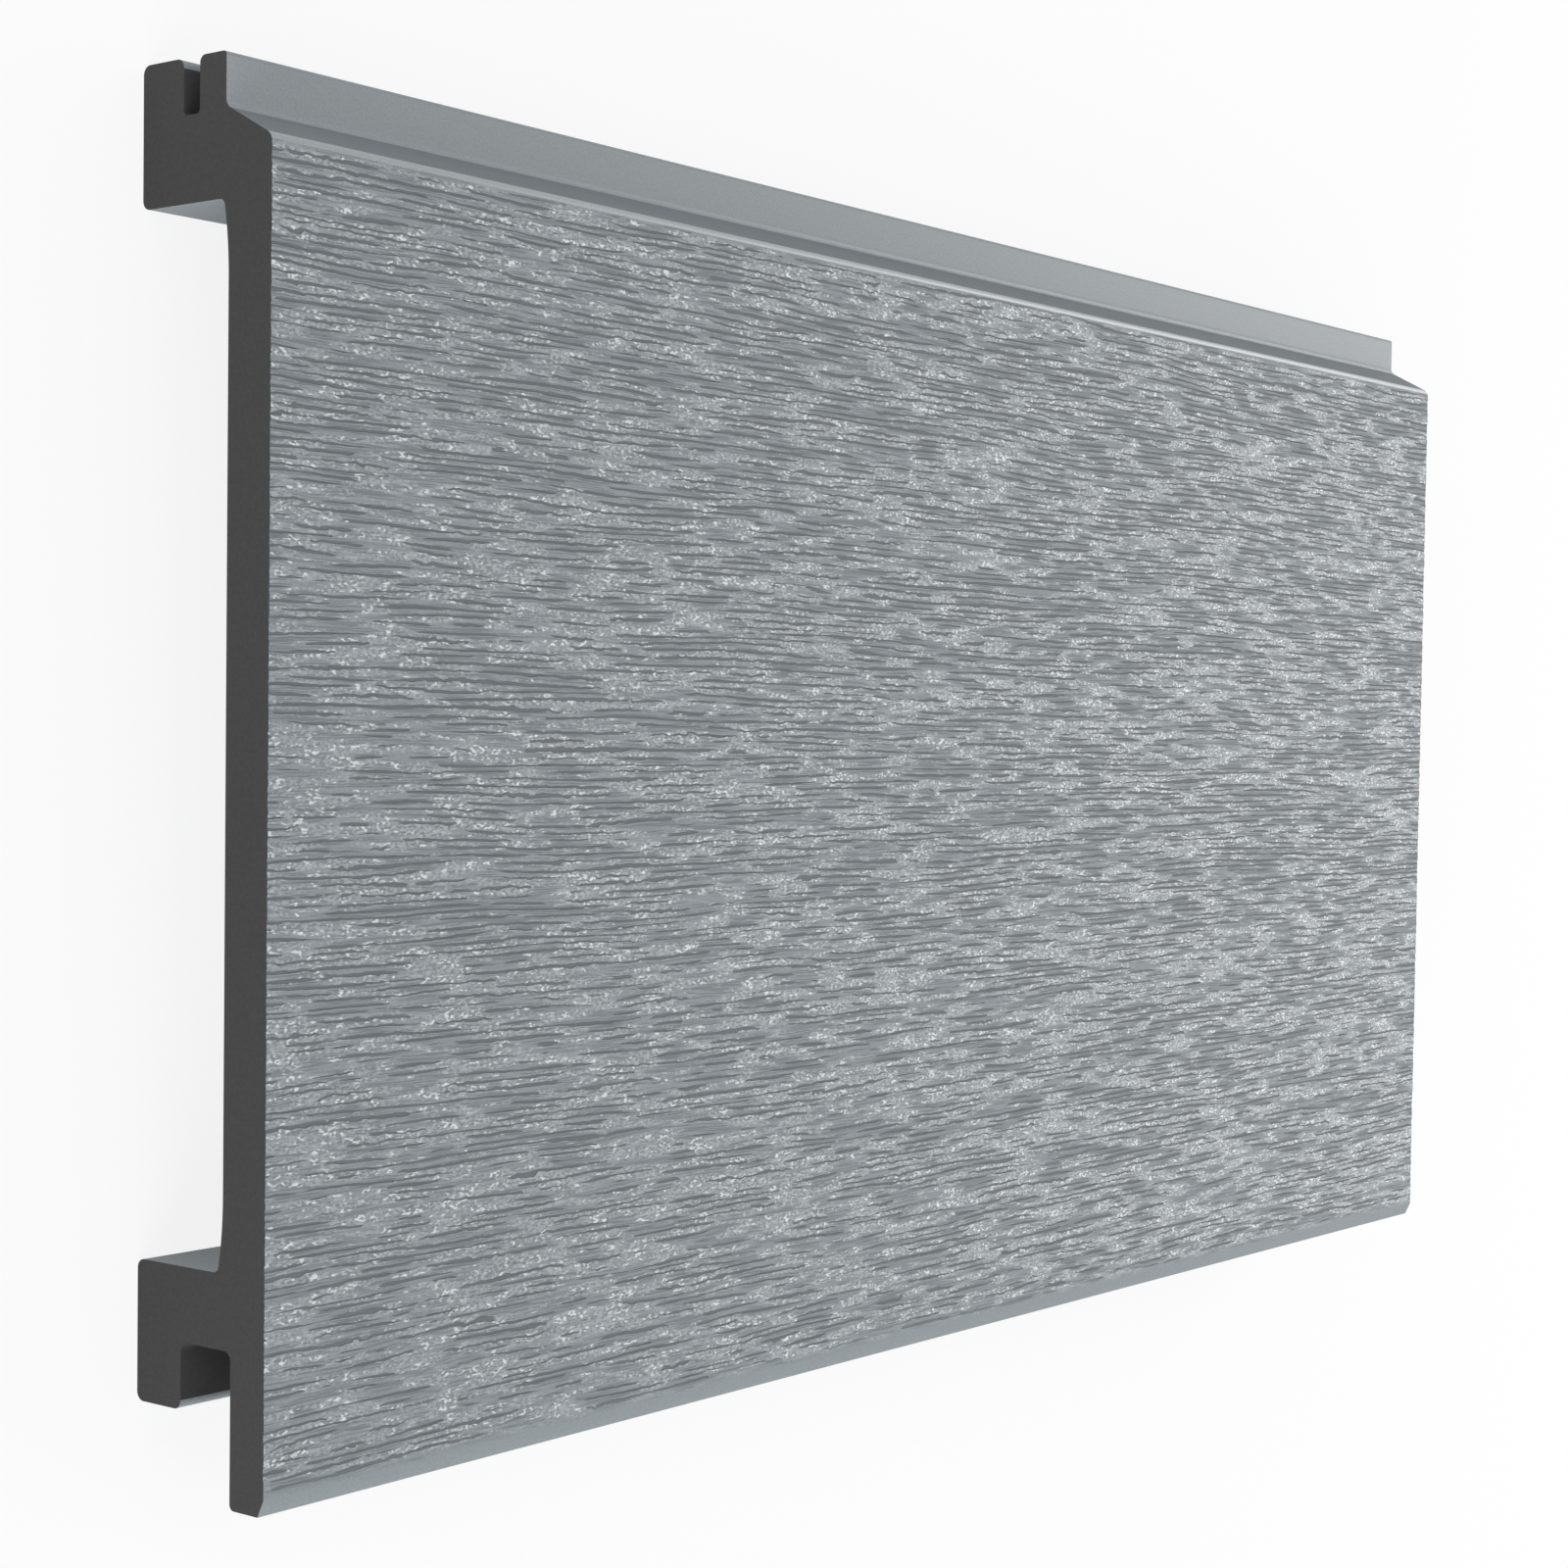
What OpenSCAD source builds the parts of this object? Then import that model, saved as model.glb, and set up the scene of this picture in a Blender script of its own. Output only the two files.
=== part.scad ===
// Composite cladding board, one solid moulded length with a grooved lower
// edge and a tongued upper edge, so that each course laps over the one below.
// The board lies on its back with the wood-grain face up.
// X runs along the board, Y runs up the wall and Z runs from back to face.
// The origin is at the middle of the underside.

/* [Board] */
// Length of the board
board_l = 260; // [100:10:3600]
// Overall width, from the end of the lip to the top of the tongue
board_w = 150; // [110:1:250]
// Thickness, from the back of the edge blocks to the face
board_t = 20; // [19:0.5:26]
// Thickness of the panel between the two edge blocks
web_t = 6.5; // [5:0.1:7.5]
// Radius on the outer corners of the two edge blocks
block_corner_r = 1; // [0.3:0.1:1.5]

/* [Panel roots] */
// Distance over which the panel thickens towards each edge block
root_reach = 8; // [4:0.5:15]
// Thickness that the panel gains at each edge block
root_rise = 0.75; // [0.3:0.05:1.2]
// Radius between the thickened root and the edge block
root_fillet_r = 0.8; // [0.3:0.1:1.5]

/* [Upper edge] */
// Height of the upper edge block, the head
head_h = 15; // [14:0.5:25]
// Thickness of the tongue
tongue_t = 4.1; // [3:0.1:5]
// Radius on the front corner of the tongue
tongue_front_r = 0.5; // [0.2:0.1:1]
// Radius on the back corner of the tongue
tongue_back_r = 0.8; // [0.3:0.1:1.2]
// Width of the slot for the fixing clip
clip_slot_w = 2.5; // [1.5:0.1:3]
// Depth of the slot for the fixing clip
clip_slot_d = 5.9; // [4:0.1:9]
// Radius at the bottom of the slot
clip_slot_r = 0.5; // [0.2:0.1:0.7]
// Slope of the shoulder that sheds water off the board
shoulder_angle = 28; // [15:1:35]
// Radius between the tongue and the sloping shoulder
shoulder_fillet_r = 1.2; // [0.4:0.1:2]
// Radius where the sloping shoulder meets the face
shoulder_nose_r = 1.5; // [0.5:0.1:2]

/* [Lower edge] */
// Height of the lower edge block, the heel, above its foot
heel_h = 15.2; // [12:0.1:25]
// Thickness of the leg behind the groove
leg_t = 7; // [5:0.1:8]
// Depth of the groove above the foot of the leg
groove_d = 7.2; // [5:0.1:9]
// Radius at the two corners of the groove
groove_r = 1; // [0.3:0.1:2]
// Thickness of the lip that hangs in front of the groove
lip_t = 5.2; // [4:0.1:5.5]
// Distance that the lip hangs below the foot of the leg
lip_drop = 9.3; // [7:0.1:12]
// Height of the bevel on the front of the lip
lip_bevel_h = 1.9; // [0.5:0.1:3]
// Depth of the bevel on the front of the lip
lip_bevel_d = 0.9; // [0.3:0.1:1.5]
// Radius on the back corner of the lip
lip_back_r = 0.65; // [0.2:0.05:1]

/* [Fit between boards] */
// Gap between the lip and the tongue of the board below
lap_gap = 1.8; // [1:0.1:3]
// Gap for the fixing clip between the foot and the head of the board below
clip_gap = 2.8; // [1.5:0.1:4]

/* [Hidden] */

// Number of sides that marks a curve as round
$fn = 64;
// Overrun of a cut past the surface that it starts from
cut = 1;
// Overlap with which an arc runs into the surface beside it
blend = 0.0002;

// Lines across the board, measured up the wall from its middle
lip_end_y = -board_w / 2;
foot_y = lip_end_y + lip_drop;
groove_top_y = foot_y + groove_d;
heel_top_y = foot_y + heel_h;
head_top_y = board_w / 2;
head_bottom_y = head_top_y - head_h;
slot_bottom_y = head_top_y - clip_slot_d;
seat_y = head_top_y - lip_drop + clip_gap;

// Lines through the thickness, measured from the back
lip_back_z = board_t - lip_t;
tongue_front_z = lip_back_z - lap_gap;
tongue_back_z = tongue_front_z - tongue_t;
slot_back_z = tongue_back_z - clip_slot_w;
web_back_z = board_t - web_t;

// Height of the sloping shoulder at the tongue and at the face
shoulder_slope = tan(shoulder_angle);
shoulder_top_y = seat_y + (lip_back_z - tongue_front_z) * shoulder_slope;
shoulder_nose_y = seat_y - lip_t * shoulder_slope;

// Angle that the two corners of the shoulder point at, out from the section,
// and half the angle between the directions square to their sides
shoulder_out = 45 + shoulder_angle / 2;
shoulder_half = 45 - shoulder_angle / 2;

// Piece between a corner of the section and the arc that rounds it: cut away,
// it rounds an outer corner, and added, it fills an inner one. The corner
// stands at (y, z) and points towards an angle, and half is half the angle
// between the directions square to its two sides
module corner_piece(y, z, r, towards, half = 45) {
    reach = r + cut;
    translate([y, z])
        rotate(towards)
            translate([-r / cos(half), 0])
                difference() {
                    polygon([
                        [0, 0],
                        [reach * cos(half), -reach * sin(half)],
                        [reach / cos(half), 0],
                        [reach * cos(half), reach * sin(half)],
                    ]);
                    circle(r + blend);
                }
}

// One end of the channel, with the edge block standing at y = 0, the channel
// on the -Y side and the back of the panel at z = 0: a long sweep thickens the
// panel and a small fillet turns it into the edge block
module channel_end() {
    sweep_r = (root_reach * root_reach + root_rise * root_rise) / (2 * root_rise);
    fillet_y = -root_fillet_r;
    fillet_run = root_reach + fillet_y;
    fillet_z = sqrt(pow(sweep_r - root_fillet_r, 2) - fillet_run * fillet_run) - sweep_r;
    meet_y = fillet_y + root_fillet_r * fillet_run / (sweep_r - root_fillet_r);
    // Open space under the sweep, as far as it meets the fillet
    intersection() {
        translate([-root_reach, -sweep_r])
            circle(sweep_r, $fn = 360);
        translate([-root_reach - cut, -web_back_z - cut])
            square([root_reach + cut + meet_y, web_back_z + 2 * cut]);
    }
    // Open space under the fillet, and the rest down to the back
    translate([fillet_y, fillet_z])
        circle(root_fillet_r + blend);
    translate([-root_reach, -web_back_z - cut])
        square([root_reach, web_back_z + cut + fillet_z]);
}

// Open channel behind the panel, between the two edge blocks
module back_channel() {
    translate([heel_top_y + root_reach, -cut])
        square([head_bottom_y - heel_top_y - 2 * root_reach, web_back_z + cut]);
    translate([head_bottom_y, web_back_z])
        channel_end();
    translate([heel_top_y, web_back_z])
        mirror([1, 0])
            channel_end();
}

// Slot behind the tongue, round at its bottom corners
module clip_slot() {
    difference() {
        translate([slot_bottom_y, slot_back_z])
            square([clip_slot_d + cut, clip_slot_w]);
        corner_piece(slot_bottom_y, slot_back_z, clip_slot_r, 225);
        corner_piece(slot_bottom_y, tongue_back_z, clip_slot_r, 135);
    }
}

// Groove between the leg and the lip, round at its top corners
module lap_groove() {
    difference() {
        translate([foot_y - cut, leg_t])
            square([groove_d + cut, lip_back_z - leg_t]);
        corner_piece(groove_top_y, leg_t, groove_r, 315);
        corner_piece(groove_top_y, lip_back_z, groove_r, 45);
    }
}

// Outline of the board with square corners: foot, back, tongue, sloping
// shoulder, face and hanging lip
module outline() {
    polygon([
        [foot_y, 0],
        [head_top_y, 0],
        [head_top_y, tongue_front_z],
        [shoulder_top_y, tongue_front_z],
        [shoulder_nose_y, board_t],
        [lip_end_y + lip_bevel_h, board_t],
        [lip_end_y, board_t - lip_bevel_d],
        [lip_end_y, lip_back_z],
        [foot_y, lip_back_z],
    ]);
}

// Whole section of the board, Y across and Z up
module board_section() {
    difference() {
        outline();
        back_channel();
        clip_slot();
        lap_groove();
        // Head block, the mouth of its slot and the tongue
        corner_piece(head_bottom_y, 0, block_corner_r, 225);
        corner_piece(head_top_y, 0, block_corner_r, 315);
        corner_piece(head_top_y, slot_back_z, block_corner_r, 45);
        corner_piece(head_top_y, tongue_back_z, tongue_back_r, 315);
        corner_piece(head_top_y, tongue_front_z, tongue_front_r, 45);
        corner_piece(shoulder_nose_y, board_t, shoulder_nose_r, shoulder_out, shoulder_half);
        // Heel block, its leg and the lip
        corner_piece(heel_top_y, 0, block_corner_r, 315);
        corner_piece(foot_y, 0, block_corner_r, 225);
        corner_piece(foot_y, leg_t, block_corner_r, 135);
        corner_piece(lip_end_y, lip_back_z, lip_back_r, 225);
    }
    // Fillet where the front of the tongue runs into the sloping shoulder
    corner_piece(shoulder_top_y, tongue_front_z, shoulder_fillet_r, shoulder_out + 180, shoulder_half);
}

// One length of board, moulded in one piece
module board() {
    color("#8c949a")
        rotate([90, 0, 90])
            linear_extrude(height = board_l, center = true)
                board_section();
}

board();
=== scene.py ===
"""Composite cladding board: one moulded length with a wood-grain face.

The board lies on the backs of its two edge blocks. The mesh follows the same
section as the solid, and its face carries the grain as a real relief, cut
inwards from the plane of the solid's face.
"""

import logging
import math
from dataclasses import dataclass, field
from enum import Enum
from typing import Sequence

import bpy
import numpy as np
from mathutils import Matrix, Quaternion, Vector


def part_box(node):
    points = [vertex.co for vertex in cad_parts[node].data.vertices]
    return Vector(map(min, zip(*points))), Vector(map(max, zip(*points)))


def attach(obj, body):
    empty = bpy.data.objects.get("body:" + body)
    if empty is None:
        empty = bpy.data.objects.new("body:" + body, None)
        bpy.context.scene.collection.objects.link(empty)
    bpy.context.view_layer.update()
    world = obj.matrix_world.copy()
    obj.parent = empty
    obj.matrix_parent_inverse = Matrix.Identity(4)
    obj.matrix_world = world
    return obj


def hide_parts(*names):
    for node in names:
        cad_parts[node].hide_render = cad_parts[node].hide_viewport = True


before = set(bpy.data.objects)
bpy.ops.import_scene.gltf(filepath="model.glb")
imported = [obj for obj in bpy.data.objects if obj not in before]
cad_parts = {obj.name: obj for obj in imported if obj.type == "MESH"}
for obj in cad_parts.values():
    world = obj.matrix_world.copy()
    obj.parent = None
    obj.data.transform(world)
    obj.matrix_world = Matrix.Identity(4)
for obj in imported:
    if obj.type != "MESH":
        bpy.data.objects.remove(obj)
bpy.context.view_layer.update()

LOG = logging.getLogger("cladding_board")
MM = 0.001
GRAIN_ATTRIBUTE = "grain"
POLISH_ATTRIBUTE = "polish"

Colour = tuple[float, float, float]
Point = tuple[float, float]


def linear(colour: Colour) -> tuple[float, float, float, float]:
    """Turn an sRGB colour of 0 to 255 into a linear colour with alpha.

    Args:
        colour: The red, green and blue of the colour as the eye sees it.

    Returns:
        The linear red, green, blue and an alpha of 1.
    """
    parts = []
    for part in colour:
        share = part / 255
        parts.append(share / 12.92 if share <= 0.04045 else ((share + 0.055) / 1.055) ** 2.4)
    return (*parts, 1.0)


class Zone(Enum):
    """What a stretch of the section is like on its outside."""

    SKIN = "moulded skin"
    TONGUE = "front of the tongue"
    FILLET = "fillet above the shoulder"
    NOSE = "nose below the shoulder"
    SLOPE = "slope of the shoulder"
    FACE = "wood-grain face"
    CORE = "milled or sawn core"

    @property
    def material_index(self) -> int:
        """The place of the zone's material on the board."""
        return {Zone.CORE: 1, Zone.SLOPE: 2}.get(self, 0)

    @property
    def polish(self) -> float:
        """The share of polish that the zone has outside the grain."""
        return {Zone.TONGUE: 0.6, Zone.FILLET: 0.35, Zone.NOSE: 1.0}.get(self, 0.0)


class TreeBuilder:
    """Adds nodes to a shader or geometry tree, which share their maths nodes."""

    def __init__(self, tree: bpy.types.NodeTree) -> None:
        """Keep the tree that the nodes go into."""
        self.tree = tree

    def node(self, kind: str, **settings: object) -> bpy.types.Node:
        """Add one node.

        Args:
            kind: The node's type name.
            settings: Properties to set on the node.

        Returns:
            The new node.
        """
        made = self.tree.nodes.new(kind)
        for name, value in settings.items():
            setattr(made, name, value)
        return made

    def feed(self, socket: bpy.types.NodeSocket, value: object) -> None:
        """Link a socket's value to it, or set it to a plain one."""
        if isinstance(value, bpy.types.NodeSocket):
            self.tree.links.new(value, socket)
        else:
            socket.default_value = value

    def maths(self, operation: str, *values: object, clamp: bool = False) -> bpy.types.NodeSocket:
        """Add a Math node.

        Args:
            operation: The node's operation.
            values: Its inputs, each a socket or a number.
            clamp: Whether the result is kept between 0 and 1.

        Returns:
            The node's output.
        """
        made = self.node("ShaderNodeMath", operation=operation, use_clamp=clamp)
        for socket, value in zip(made.inputs, values):
            self.feed(socket, value)
        return made.outputs[0]

    def scaled(self, vector: bpy.types.NodeSocket, factors: Sequence[float]) -> bpy.types.NodeSocket:
        """Multiply a vector by a factor for each axis.

        Args:
            vector: The vector socket.
            factors: The factors along X, Y and Z.

        Returns:
            The scaled vector.
        """
        made = self.node("ShaderNodeVectorMath", operation="MULTIPLY")
        self.feed(made.inputs[0], vector)
        made.inputs[1].default_value = tuple(factors)
        return made.outputs[0]

    def shifted(self, vector: bpy.types.NodeSocket, shift: object) -> bpy.types.NodeSocket:
        """Add a plain or linked vector to a vector.

        Args:
            vector: The vector socket.
            shift: The vector that is added.

        Returns:
            The sum.
        """
        made = self.node("ShaderNodeVectorMath", operation="ADD")
        self.feed(made.inputs[0], vector)
        self.feed(made.inputs[1], shift)
        return made.outputs[0]

    def noise(
        self,
        vector: bpy.types.NodeSocket,
        cell: Sequence[float],
        seed: float,
        detail: float = 0.0,
        roughness: float = 0.5,
    ) -> bpy.types.NodeSocket:
        """Add stretched noise whose cells have a real size.

        Args:
            vector: The place in millimetres.
            cell: The size of a cell along X, Y and Z in millimetres, 0 for no change along it.
            seed: A shift that tells one noise from the next.
            detail: How many finer layers are added.
            roughness: How strong the finer layers are.

        Returns:
            The noise, about 0.5 on average.
        """
        factors = [1 / size if size else 0.0 for size in cell]
        place = self.shifted(self.scaled(vector, factors), (seed, seed * 0.37, seed * 1.31))
        made = self.node("ShaderNodeTexNoise", noise_dimensions="3D")
        self.feed(made.inputs["Vector"], place)
        made.inputs["Scale"].default_value = 1.0
        made.inputs["Detail"].default_value = detail
        made.inputs["Roughness"].default_value = roughness
        return made.outputs[0]

    def speckle(
        self, place: bpy.types.NodeSocket, cell: Sequence[float], seed: float, detail: float = 0.0
    ) -> bpy.types.NodeSocket:
        """Add noise through the whole object.

        Args:
            place: The place on the object in metres.
            cell: The size of a cell along X, Y and Z in millimetres.
            seed: A shift that tells one noise from the next.
            detail: How many finer layers are added.

        Returns:
            The noise, about 0.5 on average.
        """
        return self.noise(self.scaled(place, (1 / MM,) * 3), cell, seed, detail)

    def spread(self, noise: bpy.types.NodeSocket, reach: float) -> bpy.types.NodeSocket:
        """Centre a noise on 0 and scale it.

        Args:
            noise: The noise, about 0.5 on average.
            reach: The size of the whole span of the result.

        Returns:
            The noise about 0.
        """
        return self.maths("MULTIPLY", self.maths("SUBTRACT", noise, 0.5), reach)

    def ramp(
        self, value: object, low: object, high: object, out_low: float = 0.0, out_high: float = 1.0
    ) -> bpy.types.NodeSocket:
        """Add a smooth step between two values.

        Args:
            value: The value that is stepped.
            low: Where the step starts.
            high: Where the step ends.
            out_low: The result before the step.
            out_high: The result after the step.

        Returns:
            The stepped value.
        """
        made = self.node("ShaderNodeMapRange", interpolation_type="SMOOTHSTEP")
        for socket, part in zip(made.inputs, (value, low, high, out_low, out_high)):
            self.feed(socket, part)
        return made.outputs[0]

    def mix(self, factor: object, first: object, second: object, blend: str = "MIX") -> bpy.types.NodeSocket:
        """Add a colour mix.

        Args:
            factor: The share of the second colour.
            first: The first colour.
            second: The second colour.
            blend: The way the colours are mixed.

        Returns:
            The mixed colour.
        """
        made = self.node("ShaderNodeMix", data_type="RGBA", blend_type=blend)
        self.feed(made.inputs[0], factor)
        self.feed(made.inputs[6], first)
        self.feed(made.inputs[7], second)
        return made.outputs[2]


def start_material(name: str) -> tuple[bpy.types.Material, TreeBuilder, bpy.types.NodeSocket]:
    """Start an empty material.

    Args:
        name: The material's name.

    Returns:
        The material, the builder of its tree, and the place on the object in metres.
    """
    made = bpy.data.materials.new(name)
    made.use_nodes = True
    made.node_tree.nodes.clear()
    nodes = TreeBuilder(made.node_tree)
    return made, nodes, nodes.node("ShaderNodeTexCoord").outputs["Object"]


def end_material(nodes: TreeBuilder, shader: bpy.types.Node) -> None:
    """Link a material's shader to its output."""
    out = nodes.node("ShaderNodeOutputMaterial")
    nodes.feed(out.inputs["Surface"], shader.outputs[0])


@dataclass(frozen=True)
class GrainSeeds:
    """The shift of each noise of the grain, which tells one from the next."""

    patch: float = 97.6
    clump: float = 71.9
    drift: float = 11.3
    jitter: float = 27.9
    kink: float = 36.1
    groove: float = 3.1
    bundle: float = 41.7
    thread: float = 61.2
    pebble: float = 83.4


@dataclass(frozen=True)
class WoodGrain:
    """The embossed grain: long fine grooves in bundles, with pebbled patches between them.

    All sizes are in millimetres, and every noise is taken over the plane of the face.
    """

    groove_spacing: float = 0.86
    groove_cell: Point = (8.5, 0.6)
    groove_level: float = 0.33
    groove_edge: float = 0.16
    groove_cap: float = 0.14
    thinning: float = 0.14
    half_width: float = 75.0
    bundle_cell: Point = (20.0, 3.5)
    drift_cell: Point = (46.0, 14.0)
    drift: float = 1.3
    jitter_cell: Point = (17.0, 1.7)
    jitter: float = 1.0
    kink_cell: Point = (1.7, 0.9)
    kink: float = 0.75
    thread_cell: Point = (8.0, 0.15)
    pebble_cell: Point = (0.55, 0.3)
    pore_cell: Point = (1.3, 0.62)
    patch_cell: Point = (8.5, 1.25)
    clump_cell: Point = (22.0, 4.5)
    clump: float = 0.2
    patch_level: float = 0.44
    patch_edge: float = 0.11
    parting: float = 1.6
    rough_range: Point = (0.46, 0.6)
    rough_floor: float = 0.3
    strength_spread: float = 4.2
    bundle_spread: float = 1.9
    pore_range: Point = (0.14, 0.05)
    seeds: GrainSeeds = field(default_factory=GrainSeeds)

    def fields(self, nodes: TreeBuilder, place: bpy.types.NodeSocket) -> dict[str, bpy.types.NodeSocket]:
        """Add the grain's fields to a tree, the same in a shader and in a geometry tree.

        Args:
            nodes: The builder of the tree.
            place: The place on the board in metres.

        Returns:
            The fields by name: hollow, groove, thread, pebble, pore and patch.
        """
        seeds = self.seeds
        flat = nodes.scaled(place, (1 / MM, 1 / MM, 0.0))
        patch = nodes.noise(flat, (*self.patch_cell, 0), seeds.patch, 3.0, 0.72)
        clump = nodes.spread(nodes.noise(flat, (*self.clump_cell, 0), seeds.clump, 1.0), self.clump)
        patch = nodes.maths("ADD", patch, clump)
        rough = nodes.ramp(patch, *self.rough_range, self.rough_floor, 1.0)
        drift = nodes.spread(nodes.noise(flat, (*self.drift_cell, 0), seeds.drift), self.drift)
        jitter = nodes.spread(nodes.noise(flat, (*self.jitter_cell, 0), seeds.jitter), self.jitter)
        kink = nodes.spread(nodes.noise(flat, (*self.kink_cell, 0), seeds.kink, 1.0), self.kink)
        lift = nodes.maths("ADD", nodes.maths("ADD", drift, jitter), nodes.maths("MULTIPLY", kink, rough))
        shift = nodes.node("ShaderNodeCombineXYZ")
        nodes.feed(shift.inputs[1], lift)
        warped = nodes.shifted(flat, shift.outputs[0])
        parts = nodes.node("ShaderNodeSeparateXYZ")
        nodes.feed(parts.inputs[0], warped)
        turn = nodes.maths("MULTIPLY", parts.outputs[1], 2 * math.pi / self.groove_spacing)
        wave = nodes.maths("MULTIPLY", nodes.maths("COSINE", turn), 0.5)
        strength = nodes.noise(warped, (*self.groove_cell, 0), seeds.groove, 0.8, 0.4)
        strength = nodes.spread(strength, self.strength_spread)
        bundle = nodes.noise(flat, (*self.bundle_cell, 0), seeds.bundle, 1.0)
        bundle = nodes.spread(bundle, self.bundle_spread)
        bundle = nodes.maths("SUBTRACT", bundle, nodes.spread(patch, self.parting))
        thin = nodes.maths("MULTIPLY", parts.outputs[1], self.thinning / self.half_width)
        hollow = nodes.maths("ADD", strength, nodes.maths("ADD", bundle, thin))
        signal = nodes.maths("ADD", wave, nodes.maths("MINIMUM", hollow, self.groove_cap))
        groove = nodes.ramp(signal, self.groove_level, self.groove_level + self.groove_edge)
        thread = nodes.noise(warped, (*self.thread_cell, 0), seeds.thread, 1.0)
        pebble = nodes.noise(flat, (*self.pebble_cell, 0), seeds.pebble, 0.6)
        polished = nodes.ramp(patch, self.patch_level, self.patch_level + self.patch_edge)
        pore = nodes.node("ShaderNodeTexVoronoi", voronoi_dimensions="2D", feature="DISTANCE_TO_EDGE")
        pore_scale = (1 / self.pore_cell[0], 1 / self.pore_cell[1], 0.0)
        nodes.feed(pore.inputs["Vector"], nodes.scaled(warped, pore_scale))
        pore.inputs["Scale"].default_value = 1.0
        pore = nodes.ramp(pore.outputs[0], *self.pore_range)
        return {
            "hollow": hollow,
            "groove": groove,
            "thread": thread,
            "pebble": pebble,
            "pore": pore,
            "patch": polished,
        }


def grain_group(grain: WoodGrain) -> bpy.types.ShaderNodeTree:
    """Build the shader node group that holds the grain's fields.

    Args:
        grain: The sizes of the grain.

    Returns:
        The node group, with one output for each field.
    """
    tree = bpy.data.node_groups.new("wood_grain", "ShaderNodeTree")
    tree.interface.new_socket("Place", in_out="INPUT", socket_type="NodeSocketVector")
    source = tree.nodes.new("NodeGroupInput")
    sink = tree.nodes.new("NodeGroupOutput")
    for name, value in grain.fields(TreeBuilder(tree), source.outputs[0]).items():
        tree.interface.new_socket(name, in_out="OUTPUT", socket_type="NodeSocketFloat")
        tree.links.new(value, sink.inputs[name])
    return tree


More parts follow.
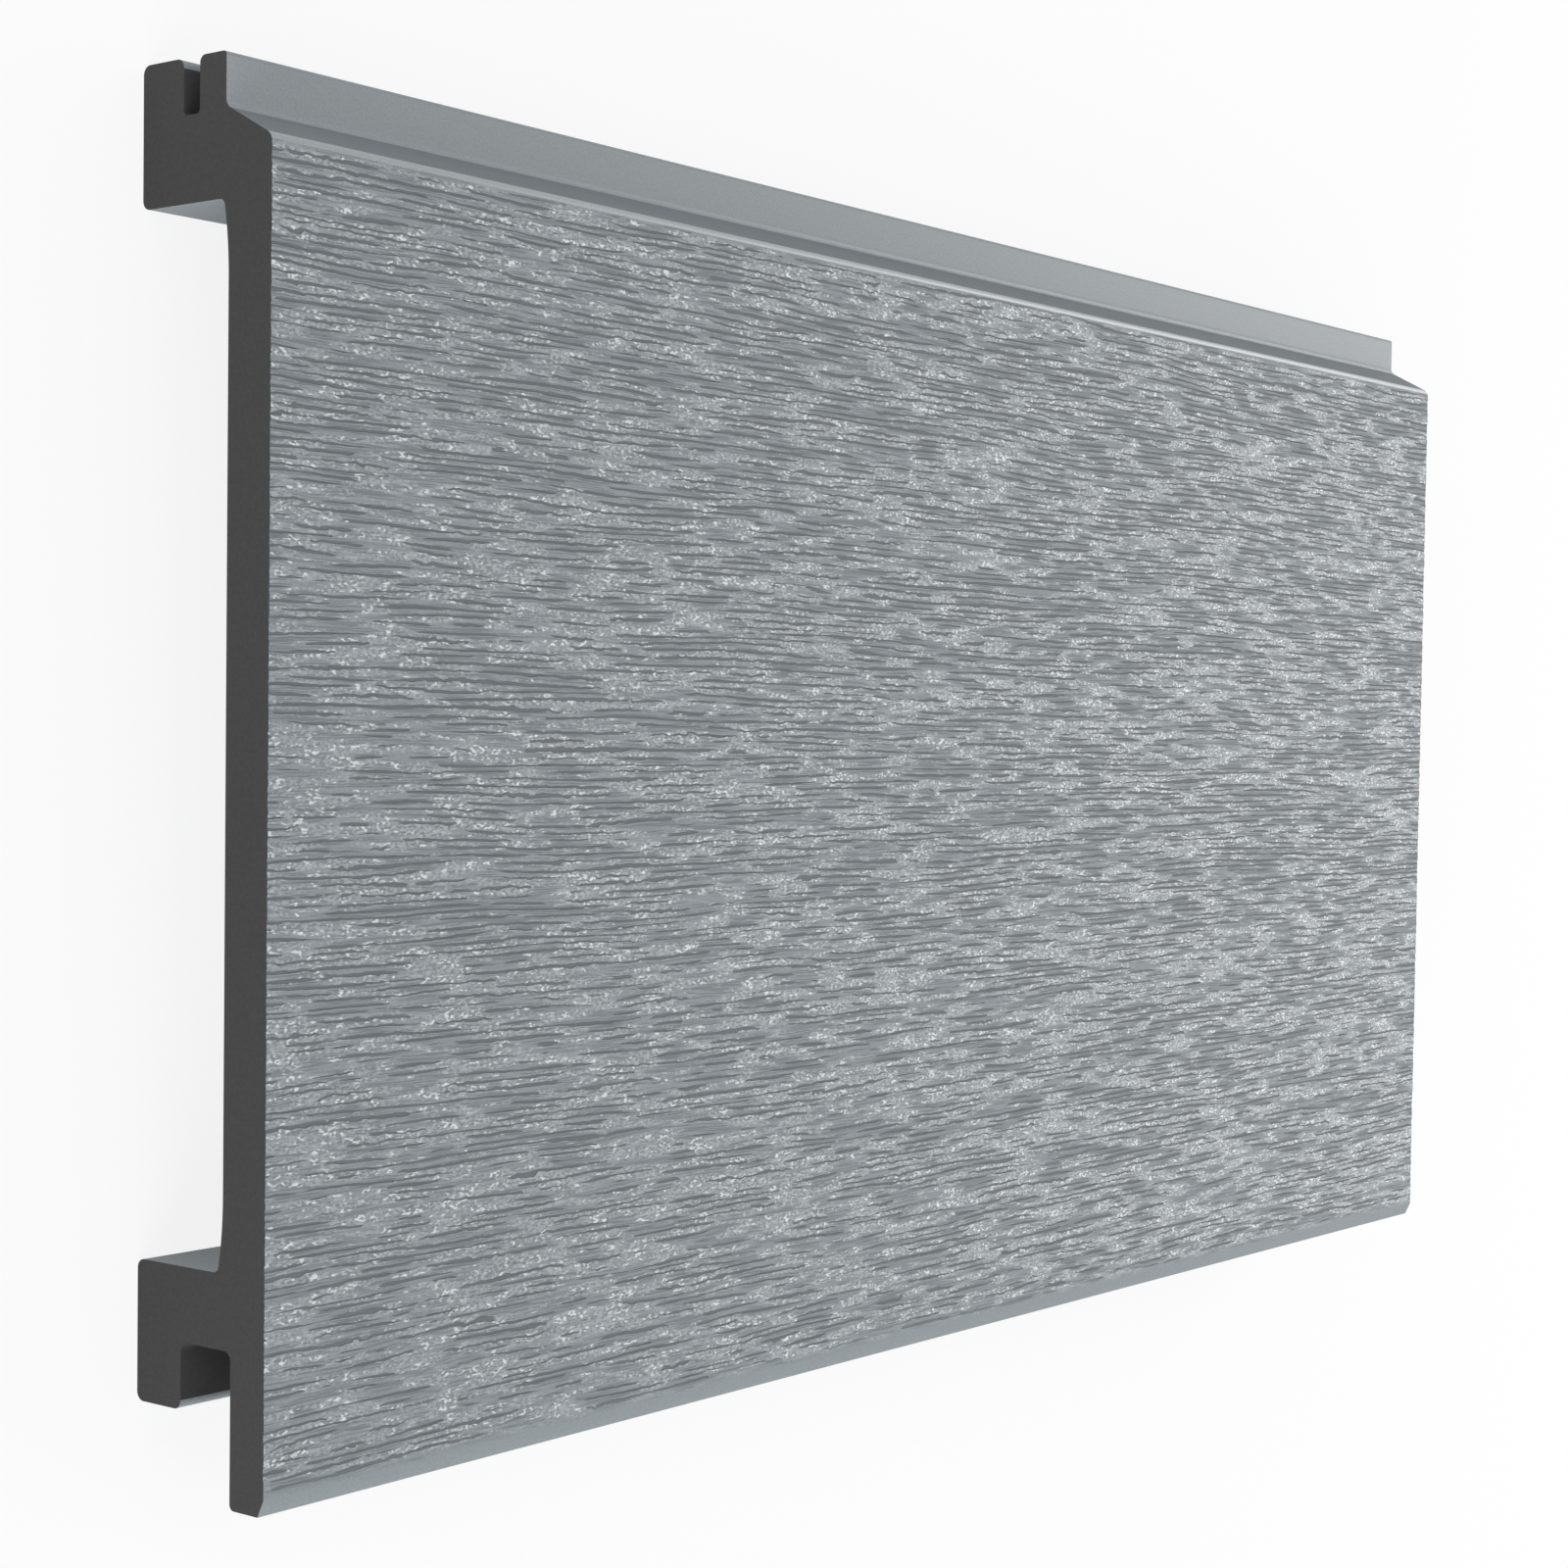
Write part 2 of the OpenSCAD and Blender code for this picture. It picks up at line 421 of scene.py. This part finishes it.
@dataclass(frozen=True)
class EmbossedSkin:
    """The grey moulded skin, satin, with its grain drawn on the face only, including painted shade in the
    grooves and pores and painted highlights on the pebble crests and sparks.
    """

    base: Colour = (142, 149, 153)
    # painted shade: the darker colour drawn in the grooves, standing for their shade
    groove_shade: Colour = (105, 110, 114)
    # a darker tone, used for the random mottle and the fine threads, and as painted shade in the pores
    shade: Colour = (116, 122, 126)
    # painted highlight: the lighter colour of the pebble crests in the polished patches
    crest_highlight: Colour = (151, 158, 162)
    # painted glint: the colour of the bright sparks
    glint: Colour = (212, 217, 220)
    roughness: float = 0.62
    specular: float = 0.25
    polish_roughness: float = 0.4
    polish_ior: float = 1.5
    mottle_cell: Sequence[float] = (0.3, 0.3, 0.3)
    mottle_share: float = 0.25
    spark_cell: Sequence[float] = (1.3, 0.6, 0.5)
    spark_range: Point = (0.48, 0.66)
    crest_range: Point = (0.42, 0.54)
    thread_share: float = 0.85
    # how much painted shade is drawn in the pores
    pore_shade_share: float = 0.2
    even_shine: float = 0.35
    bump_depth: float = 0.14
    thread_height: float = -0.25
    pebble_height: float = 0.22
    pore_height: float = -0.12
    grain: WoodGrain = field(default_factory=WoodGrain)

    def material(self) -> bpy.types.Material:
        """Build the skin's material.

        Returns:
            The material.
        """
        made, nodes, place = start_material("embossed_skin")
        group = nodes.node("ShaderNodeGroup", node_tree=grain_group(self.grain))
        nodes.feed(group.inputs[0], place)
        mask = nodes.node("ShaderNodeAttribute", attribute_name=GRAIN_ATTRIBUTE).outputs["Fac"]
        groove = nodes.maths("MULTIPLY", group.outputs["groove"], mask)
        clear = nodes.maths("MULTIPLY", nodes.maths("SUBTRACT", 1.0, groove, clamp=True), mask)
        polish = nodes.maths("MULTIPLY", group.outputs["patch"], clear)
        pebbles = nodes.maths("MULTIPLY", nodes.ramp(group.outputs["pebble"], 0.38, 0.66), polish)
        pores = nodes.maths("MULTIPLY", group.outputs["pore"], polish)
        mottle = nodes.speckle(place, self.mottle_cell, 5.0, 1.0)
        thread = nodes.maths("MULTIPLY", nodes.ramp(group.outputs["thread"], 0.49, 0.4), mask)

        mottle = nodes.ramp(mottle, 0.4, 0.6, 0.0, self.mottle_share)
        colour = nodes.mix(mottle, linear(self.base), linear(self.shade))
        colour = nodes.mix(nodes.maths("MULTIPLY", thread, self.thread_share), colour, linear(self.shade))
        # painted glints: bright sparks on the pebbles of the polished patches, drawn in the glint colour
        spark = nodes.ramp(nodes.speckle(place, self.spark_cell, 15.0), *self.spark_range)
        spark = nodes.maths("MULTIPLY", spark, nodes.ramp(pebbles, 0.55, 0.9))
        grains = nodes.ramp(group.outputs["pebble"], *self.crest_range)
        # painted highlight: pebble crests in the polished patches drawn lighter
        colour = nodes.mix(nodes.maths("MULTIPLY", polish, grains), colour, linear(self.crest_highlight))
        # painted shade: the pores are drawn darker, towards the shade colour
        colour = nodes.mix(nodes.maths("MULTIPLY", pores, self.pore_shade_share), colour, linear(self.shade))
        colour = nodes.mix(spark, colour, linear(self.glint))
        # painted shade: the grooves are drawn darker, on top of their bump
        colour = nodes.mix(groove, colour, linear(self.groove_shade))

        height = nodes.maths("MULTIPLY", groove, -1.0)
        height = nodes.maths("ADD", height, nodes.maths("MULTIPLY", thread, self.thread_height))
        height = nodes.maths("ADD", height, nodes.maths("MULTIPLY", pebbles, self.pebble_height))
        height = nodes.maths("ADD", height, nodes.maths("MULTIPLY", pores, self.pore_height))
        bump = nodes.node("ShaderNodeBump")
        bump.inputs["Strength"].default_value = 1.0
        bump.inputs["Distance"].default_value = self.bump_depth * MM
        nodes.feed(bump.inputs["Height"], height)

        shader = nodes.node("ShaderNodeBsdfPrincipled")
        nodes.feed(shader.inputs["Base Color"], colour)
        shader.inputs["Roughness"].default_value = self.roughness
        shader.inputs["Specular IOR Level"].default_value = self.specular
        shader.inputs["Coat Roughness"].default_value = self.polish_roughness
        shader.inputs["Coat IOR"].default_value = self.polish_ior
        plain = nodes.node("ShaderNodeAttribute", attribute_name=POLISH_ATTRIBUTE).outputs["Fac"]
        shine = nodes.maths("MULTIPLY", nodes.maths("SUBTRACT", polish, pores, clamp=True), grains)
        shine = nodes.maths("ADD", shine, nodes.maths("MULTIPLY", polish, self.even_shine))
        coat = nodes.maths("ADD", plain, shine, clamp=True)
        nodes.feed(shader.inputs["Coat Weight"], coat)
        nodes.feed(shader.inputs["Normal"], bump.outputs[0])
        end_material(nodes, shader)
        return made


@dataclass(frozen=True)
class SlopeSkinPaintedShade:
    """The plain, dull skin on the slope of the shoulder, with painted shade: its colour is set darker than
    the rest to stand for the slope's shade.
    """

    # painted shade: the slope's colour is set darker than the skin's to stand for its shade
    base: Colour = (116, 122, 126)
    cell: Sequence[float] = (9.0, 0.3, 0.3)
    roughness: float = 0.7
    specular: float = 0.1

    def material(self) -> bpy.types.Material:
        """Build the material of the slope's skin, with its painted shade.

        Returns:
            The material.
        """
        made, nodes, place = start_material("slope_skin_painted_shade")
        fine = nodes.speckle(place, self.cell, 5.0, 1.0)
        shader = nodes.node("ShaderNodeBsdfPrincipled")
        # painted shade: the darker colour of the slope
        shader.inputs["Base Color"].default_value = linear(self.base)
        rough = nodes.ramp(fine, 0.35, 0.65, self.roughness - 0.1, self.roughness)
        nodes.feed(shader.inputs["Roughness"], rough)
        shader.inputs["Specular IOR Level"].default_value = self.specular
        end_material(nodes, shader)
        return made


@dataclass(frozen=True)
class SawnCore:
    """The dark core that shows at the sawn ends and in the milled slot and groove."""

    base: Colour = (69, 69, 69)
    fleck: Colour = (67, 67, 67)
    cell: Sequence[float] = (0.45, 0.45, 0.45)
    roughness: float = 0.75
    specular: float = 0.15

    def material(self) -> bpy.types.Material:
        """Build the core's material.

        Returns:
            The material.
        """
        made, nodes, place = start_material("sawn_core")
        flecks = nodes.speckle(place, self.cell, 9.0, 2.0)
        shader = nodes.node("ShaderNodeBsdfPrincipled")
        colour = nodes.mix(nodes.ramp(flecks, 0.35, 0.65), linear(self.base), linear(self.fleck))
        nodes.feed(shader.inputs["Base Color"], colour)
        rough = nodes.ramp(flecks, 0.3, 0.7, self.roughness, self.roughness + 0.1)
        nodes.feed(shader.inputs["Roughness"], rough)
        shader.inputs["Specular IOR Level"].default_value = self.specular
        end_material(nodes, shader)
        return made


@dataclass
class BoardSection:
    """The section of the board, in millimetres, Y up the wall and Z from back to face."""

    width: float
    thickness: float
    web: float = 6.5
    block_corner: float = 1.0
    root_reach: float = 8.0
    root_rise: float = 0.75
    root_fillet: float = 0.8
    head: float = 15.0
    tongue: float = 4.1
    tongue_front: float = 0.5
    tongue_back: float = 0.8
    slot_width: float = 2.5
    slot_depth: float = 5.9
    slot_corner: float = 0.5
    shoulder_angle: float = 28.0
    shoulder_fillet: float = 1.2
    shoulder_nose: float = 1.5
    heel: float = 15.2
    leg: float = 7.0
    groove_depth: float = 7.2
    groove_corner: float = 1.0
    lip: float = 5.2
    lip_drop: float = 9.3
    bevel_height: float = 1.9
    bevel_depth: float = 0.9
    lip_corner: float = 0.65
    lap_gap: float = 1.8
    clip_gap: float = 2.8
    arc_step: float = 10.0
    points: list[Point] = field(default_factory=list)
    zones: list[Zone] = field(default_factory=list)

    def add(self, zone: Zone, *points: Point) -> None:
        """Add points, each with the zone of the stretch that leads up to it.

        Args:
            zone: The zone of the stretch.
            points: The points, of which one that repeats the last is left out.
        """
        for point in points:
            if self.points and math.dist(point, self.points[-1]) < 1e-6:
                continue
            self.points.append(point)
            self.zones.append(zone)

    def arc(self, zone: Zone, centre: Point, radius: float, start: float, end: float) -> None:
        """Add an arc.

        Args:
            zone: What the arc is made of.
            centre: The centre of the arc.
            radius: The radius of the arc.
            start: The angle at which it starts, in degrees.
            end: The angle at which it ends, in degrees.
        """
        steps = max(2, math.ceil(abs(end - start) / self.arc_step))
        for step in range(steps + 1):
            angle = math.radians(start + (end - start) * step / steps)
            self.add(zone, (centre[0] + radius * math.cos(angle), centre[1] + radius * math.sin(angle)))

    def channel_end(self, wall: float, side: int) -> None:
        """Add the root of the panel beside an edge block.

        Args:
            wall: The Y of the block's wall.
            side: 1 where the panel leaves the wall towards +Y, and -1 where it comes up to it.
        """
        back = self.thickness - self.web
        sweep = (self.root_reach**2 + self.root_rise**2) / (2 * self.root_rise)
        run = self.root_reach - self.root_fillet
        fillet_z = back - sweep + math.sqrt((sweep - self.root_fillet) ** 2 - run**2)
        lean = math.degrees(math.asin(run / (sweep - self.root_fillet)))
        fillet = (wall + side * self.root_fillet, fillet_z)
        centre = (wall + side * self.root_reach, back - sweep)
        if side > 0:
            self.arc(Zone.SKIN, fillet, self.root_fillet, 180, 90 + lean)
            self.sweep(centre, sweep, 90 + lean, 90)
        else:
            self.sweep(centre, sweep, 90, 90 - lean)
            self.arc(Zone.SKIN, fillet, self.root_fillet, 90 - lean, 0)

    def sweep(self, centre: Point, radius: float, start: float, end: float) -> None:
        """Add the long flat arc of a panel root in a few steps."""
        steps = 6
        for step in range(steps + 1):
            angle = math.radians(start + (end - start) * step / steps)
            self.add(Zone.SKIN, (centre[0] + radius * math.cos(angle), centre[1] + radius * math.sin(angle)))

    def trace(self, face_rows: int) -> None:
        """Trace the whole outline, with the solid on the left.

        Args:
            face_rows: How many points the wood-grain face gets.
        """
        lip_end, head_top = -self.width / 2, self.width / 2
        foot, head_bottom = lip_end + self.lip_drop, head_top - self.head
        groove_top, heel_top = foot + self.groove_depth, foot + self.heel
        slot_bottom, seat = head_top - self.slot_depth, head_top - self.lip_drop + self.clip_gap
        lip_back = self.thickness - self.lip
        tongue_front = lip_back - self.lap_gap
        tongue_back = tongue_front - self.tongue
        slot_back = tongue_back - self.slot_width
        skin, core, r = Zone.SKIN, Zone.CORE, self.block_corner
        slope = math.radians(self.shoulder_angle)
        shoulder_top = seat + self.lap_gap * math.tan(slope)
        nose = seat - self.lip * math.tan(slope)
        half = math.radians(45 - self.shoulder_angle / 2)
        # Heel block, panel and head block, along the back
        self.arc(skin, (foot + r, r), r, 180, 270)
        self.arc(skin, (heel_top - r, r), r, 270, 360)
        self.channel_end(heel_top, 1)
        self.channel_end(head_bottom, -1)
        self.arc(skin, (head_bottom + r, r), r, 180, 270)
        self.arc(skin, (head_top - r, r), r, 270, 360)
        # Slot behind the tongue, then the tongue
        self.arc(skin, (head_top - r, slot_back - r), r, 0, 90)
        c = self.slot_corner
        self.arc(core, (slot_bottom + c, slot_back + c), c, 270, 180)
        self.arc(core, (slot_bottom + c, tongue_back - c), c, 180, 90)
        c = self.tongue_back
        self.add(core, (head_top - c, tongue_back))
        self.arc(skin, (head_top - c, tongue_back + c), c, 280, 360)
        c = self.tongue_front
        self.arc(skin, (head_top - c, tongue_front - c), c, 0, 80)
        self.add(Zone.TONGUE, (head_top - c, tongue_front))
        # Sloping shoulder up to the face
        c = self.shoulder_fillet
        fillet = (shoulder_top + c * math.tan(half), tongue_front + c)
        self.add(Zone.TONGUE, (fillet[0], tongue_front))
        self.arc(Zone.FILLET, fillet, c, 260, 180 + self.shoulder_angle)
        c = self.shoulder_nose
        nose_run = c * math.tan(half)
        lean = math.radians(self.shoulder_angle)
        self.add(Zone.SLOPE, (nose - nose_run + c * math.cos(lean), self.thickness - c + c * math.sin(lean)))
        self.arc(Zone.NOSE, (nose - nose_run, self.thickness - c), c, self.shoulder_angle, 70)
        self.arc(Zone.FACE, (nose - nose_run, self.thickness - c), c, 75, 90)
        # Face, bevel and lip
        for row in range(1, face_rows + 1):
            share = row / face_rows
            y = (nose - nose_run) * (1 - share) + (lip_end + self.bevel_height) * share
            self.add(Zone.FACE, (y, self.thickness))
        self.add(skin, (lip_end, self.thickness - self.bevel_depth))
        c = self.lip_corner
        self.arc(skin, (lip_end + c, lip_back + c), c, 180, 270)
        # Groove and leg
        c = self.groove_corner
        self.arc(core, (groove_top - c, lip_back - c), c, 90, 0)
        self.arc(core, (groove_top - c, self.leg + c), c, 0, -90)
        self.add(core, (foot + r, self.leg))
        self.arc(skin, (foot + r, self.leg - r), r, 100, 180)


@dataclass
class CladdingBoard:
    """The board: its section swept along its length, with the grain cut into its face."""

    node: str = "board"
    body: str = "root"
    slot: str = "composite"
    face_rows: int = 560
    face_stations: int = 158
    near_spacing: float = 0.75
    relief_depth: float = 0.1
    top_margin: float = 0.5
    lip_margin: float = 1.2
    grain: WoodGrain = field(default_factory=WoodGrain)
    skin: EmbossedSkin = field(default_factory=EmbossedSkin)
    slope_shade_skin: SlopeSkinPaintedShade = field(default_factory=SlopeSkinPaintedShade)
    core: SawnCore = field(default_factory=SawnCore)

    def stations(self, low: float, high: float) -> np.ndarray:
        """Space the cross lines of the face, closer at the near end.

        Args:
            low: The X of the near end, in millimetres.
            high: The X of the far end.

        Returns:
            The X of each cross line.
        """
        share = np.linspace(0, 1, self.face_stations)
        eased = share * (self.near_spacing + (1 - self.near_spacing) * share)
        return low + (high - low) * eased

    def blank(self) -> bpy.types.Object:
        """Build the board with a plain face that is ready for its relief.

        Returns:
            The object, with the grain attribute on its points.
        """
        low, high = (Vector(corner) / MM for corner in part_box(self.node))
        section = BoardSection(width=high.y - low.y, thickness=high.z - low.z)
        section.trace(self.face_rows)
        outline = np.array(section.points)
        zones = section.zones
        count = len(zones)
        stations = self.stations(low.x, high.x)
        first = zones.index(Zone.FACE) - 1
        last = count - 1 - zones[::-1].index(Zone.FACE)
        points: list[tuple[float, float, float]] = []
        rows: list[list[int]] = []
        for index in range(count):
            line = stations if first <= index <= last else stations[[0, -1]]
            rows.append(list(range(len(points), len(points) + len(line))))
            points.extend((x, outline[index, 0], outline[index, 1]) for x in line)
        faces: list[list[int]] = []
        kinds: list[int] = []
        for index in range(count):
            after = (index + 1) % count
            here, there = rows[index], rows[after]
            if zones[after] is Zone.FACE:
                steps = len(stations) - 1
                faces.extend([here[i], there[i], there[i + 1], here[i + 1]] for i in range(steps))
                kinds.extend([Zone.FACE.material_index] * steps)
            else:
                faces.append(here[:1] + there + here[:0:-1])
                kinds.append(zones[after].material_index)
        faces.append([row[0] for row in reversed(rows)])
        faces.append([row[-1] for row in rows])
        kinds.extend([Zone.CORE.material_index] * 2)
        mesh = bpy.data.meshes.new("cladding_board")
        mesh.from_pydata((np.array(points) * MM).tolist(), [], faces)
        mesh.polygons.foreach_set("material_index", kinds)
        ys = np.array(points)[:, 1]
        top = outline[first, 0] - ys
        bottom = ys - outline[last, 0]
        fade = np.clip(top / self.top_margin, 0, 1) * np.clip(bottom / self.lip_margin, 0, 1)
        on_face = np.zeros(len(points))
        on_face[rows[first][0]:rows[last][-1] + 1] = 1
        grain = mesh.attributes.new(GRAIN_ATTRIBUTE, "FLOAT", "POINT")
        grain.data.foreach_set("value", (fade * on_face).astype(np.float32))
        smooth = np.zeros(len(points), np.float32)
        for index in range(count):
            smooth[rows[index]] = zones[index].polish
        mesh.attributes.new(POLISH_ATTRIBUTE, "FLOAT", "POINT").data.foreach_set("value", smooth)
        made = bpy.data.objects.new("cladding_board", mesh)
        bpy.context.scene.collection.objects.link(made)
        return made

    def relief_tree(self, skin: bpy.types.Material) -> bpy.types.GeometryNodeTree:
        """Build the node tree that presses the grain into the face.

        Args:
            skin: The material of the skin, which the tree leaves on the mesh; not used.

        Returns:
            The geometry node tree, with its depth and the core's material as inputs.
        """
        tree = bpy.data.node_groups.new("grain_relief", "GeometryNodeTree")
        tree.interface.new_socket("Geometry", in_out="INPUT", socket_type="NodeSocketGeometry")
        depth = tree.interface.new_socket("Depth", in_out="INPUT", socket_type="NodeSocketFloat")
        depth.default_value = self.relief_depth * MM
        tree.interface.new_socket("Core", in_out="INPUT", socket_type="NodeSocketMaterial")
        tree.interface.new_socket("Geometry", in_out="OUTPUT", socket_type="NodeSocketGeometry")
        nodes = TreeBuilder(tree)
        source, sink = nodes.node("NodeGroupInput"), nodes.node("NodeGroupOutput")
        place = nodes.node("GeometryNodeInputPosition").outputs[0]
        fields = self.grain.fields(nodes, place)
        mask = nodes.node("GeometryNodeInputNamedAttribute", data_type="FLOAT")
        mask.inputs["Name"].default_value = GRAIN_ATTRIBUTE
        sunk = nodes.ramp(fields["hollow"], -0.5, 0.6)
        sunk = nodes.maths("MULTIPLY", sunk, mask.outputs[0])
        drop = nodes.node("ShaderNodeCombineXYZ")
        offset = nodes.maths("MULTIPLY", nodes.maths("MULTIPLY", sunk, source.outputs["Depth"]), -1.0)
        nodes.feed(drop.inputs[2], offset)
        move = nodes.node("GeometryNodeSetPosition")
        nodes.feed(move.inputs["Geometry"], source.outputs["Geometry"])
        nodes.feed(move.inputs["Offset"], drop.outputs[0])
        index = nodes.node("GeometryNodeInputMaterialIndex").outputs[0]
        is_core = nodes.node("FunctionNodeCompare", data_type="INT", operation="EQUAL")
        nodes.feed(is_core.inputs[2], index)
        is_core.inputs[3].default_value = Zone.CORE.material_index
        real = nodes.node("GeometryNodeRealizeInstances")
        nodes.feed(real.inputs[0], move.outputs[0])
        dress = nodes.node("GeometryNodeSetMaterial")
        nodes.feed(dress.inputs["Geometry"], real.outputs[0])
        nodes.feed(dress.inputs["Selection"], is_core.outputs[0])
        nodes.feed(dress.inputs["Material"], source.outputs["Core"])
        nodes.feed(sink.inputs[0], dress.outputs[0])
        return tree

    def build(self) -> bpy.types.Object:
        """Build the board with its relief as a plain mesh.

        Returns:
            The finished object, which stands for the solid.
        """
        blank = self.blank()
        skin, core = self.skin.material(), self.core.material()
        blank.data.materials.append(skin)
        blank.data.materials.append(core)
        # the slope's skin, whose darker colour is painted shade
        blank.data.materials.append(self.slope_shade_skin.material())
        tree = self.relief_tree(skin)
        modifier = blank.modifiers.new("grain", "NODES")
        modifier.node_group = tree
        for item in tree.interface.items_tree:
            if item.name == "Depth":
                modifier[item.identifier] = self.relief_depth * MM
            if item.name == "Core":
                modifier[item.identifier] = core
        result = bpy.data.meshes.new_from_object(blank.evaluated_get(bpy.context.evaluated_depsgraph_get()))
        blank.modifiers.clear()
        blank.data = result
        result.shade_smooth()
        result.set_sharp_from_angle(angle=math.radians(35))
        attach(blank, self.body)
        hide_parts(self.node)
        return blank


@dataclass(frozen=True)
class SoftBox:
    """One soft box, with its place, target and size in metres.

    The radiance says how bright its face is, where 1 is white.
    """

    name: str
    place: Sequence[float]
    target: Sequence[float]
    size: Point
    radiance: float

    def hang(self) -> None:
        """Hang the soft box and point it at its target."""
        light = bpy.data.lights.new(self.name, "AREA")
        light.shape = "RECTANGLE"
        light.size, light.size_y = self.size
        light.energy = self.radiance * math.pi * self.size[0] * self.size[1]
        made = bpy.data.objects.new(self.name, light)
        made.location = self.place
        aim = Vector(self.target) - Vector(self.place)
        made.rotation_mode = "QUATERNION"
        made.rotation_quaternion = aim.to_track_quat("-Z", "Y")
        bpy.context.scene.collection.objects.link(made)


@dataclass
class Studio:
    """The floor, the lights and the camera. Lengths are in metres unless a name says otherwise."""

    floor_size: float = 40.0
    floor_colour: Colour = (244, 245, 246)
    camera_place: Vector = field(default_factory=lambda: Vector((-330.4, 6.2, 244.8)) * MM)
    camera_target: Vector = field(default_factory=lambda: Vector((-45.4, -8.1, 20.0)) * MM)
    camera_roll: float = -92.57
    lens_mm: float = 67.14
    frame_shift: float = 0.0411
    world_strength: float = 0.455
    backdrop_share: float = 0.85
    boxes: tuple[SoftBox, ...] = (
        SoftBox("end_box", (0.8, -0.05, 0.42), (0.1, 0, 0), (0.7, 0.36), 3.6),
        SoftBox("nose_box", (0.9, 0.62, 0.27), (0, 0, 0), (0.3, 0.22), 11.0),
        SoftBox("head_box", (-0.7, 0.65, 0.15), (0, 0, 0), (0.7, 0.3), 2.4),
        SoftBox("foot_box", (-0.45, -0.8, 0.32), (0, 0, 0), (0.8, 0.5), 4.2),
        SoftBox("top_box", (-0.3, 0, 1.0), (0, 0, 0), (0.7, 0.7), 1.0),
    )

    def seen(self, nodes: TreeBuilder) -> bpy.types.NodeSocket:
        """Tell the rays that show the background from those that light the object.

        Args:
            nodes: The builder of the tree.

        Returns:
            1 for a ray from the camera, a mirror or a glass, and 0 for any other.
        """
        path = nodes.node("ShaderNodeLightPath").outputs
        shown = nodes.maths("MAXIMUM", path["Is Camera Ray"], path["Is Glossy Ray"])
        return nodes.maths("MAXIMUM", shown, path["Is Transmission Ray"])

    def floor(self) -> bpy.types.Object:
        """Lay the pale floor that the board rests on.

        Returns:
            The floor.
        """
        half = self.floor_size / 2
        mesh = bpy.data.meshes.new("floor")
        corners = [(-half, -half, 0), (half, -half, 0), (half, half, 0), (-half, half, 0)]
        mesh.from_pydata(corners, [], [(0, 1, 2, 3)])
        made = bpy.data.objects.new("floor", mesh)
        bpy.context.scene.collection.objects.link(made)
        paint = bpy.data.materials.new("floor_paint")
        paint.use_nodes = True
        shader = paint.node_tree.nodes["Principled BSDF"]
        shader.inputs["Base Color"].default_value = linear(self.floor_colour)
        shader.inputs["Roughness"].default_value = 0.9
        nodes = TreeBuilder(paint.node_tree)
        white = nodes.node("ShaderNodeEmission")
        blend = nodes.node("ShaderNodeMixShader")
        nodes.feed(blend.inputs[0], nodes.maths("MULTIPLY", self.seen(nodes), self.backdrop_share))
        nodes.feed(blend.inputs[1], shader.outputs[0])
        nodes.feed(blend.inputs[2], white.outputs[0])
        nodes.feed(paint.node_tree.nodes["Material Output"].inputs["Surface"], blend.outputs[0])
        mesh.materials.append(paint)
        return made

    def lights(self) -> None:
        """Set the plain world and hang the soft boxes."""
        world = bpy.data.worlds.new("studio")
        world.use_nodes = True
        nodes = TreeBuilder(world.node_tree)
        sky = world.node_tree.nodes["Background"]
        sky.inputs["Color"].default_value = (1, 1, 1, 1)
        shown = nodes.maths("MULTIPLY", self.seen(nodes), 1 - self.world_strength)
        nodes.feed(sky.inputs["Strength"], nodes.maths("ADD", shown, self.world_strength))
        bpy.context.scene.world = world
        for box in self.boxes:
            box.hang()

    def camera(self) -> None:
        """Set the camera at the photograph's place, looking down on the board."""
        lens = bpy.data.cameras.new("camera")
        lens.lens = self.lens_mm
        lens.shift_y = self.frame_shift
        lens.clip_start = 0.01
        made = bpy.data.objects.new("camera", lens)
        made.location = self.camera_place
        aim = (self.camera_target - self.camera_place).normalized()
        turn = Quaternion(aim, math.radians(self.camera_roll))
        made.rotation_mode = "QUATERNION"
        made.rotation_quaternion = turn @ aim.to_track_quat("-Z", "Y")
        bpy.context.scene.collection.objects.link(made)
        bpy.context.scene.camera = made

    def build(self) -> None:
        """Set up the whole studio."""
        self.floor()
        self.lights()
        self.camera()
        bpy.context.scene.view_settings.view_transform = "Standard"


def main() -> None:
    """Build the studio and the board."""
    logging.basicConfig(level=logging.INFO, format="%(name)s: %(message)s")
    Studio().build()
    board = CladdingBoard().build()
    LOG.info("%s has %d points and %d faces", board.name, len(board.data.vertices), len(board.data.polygons))


if __name__ == "__main__":
    main()
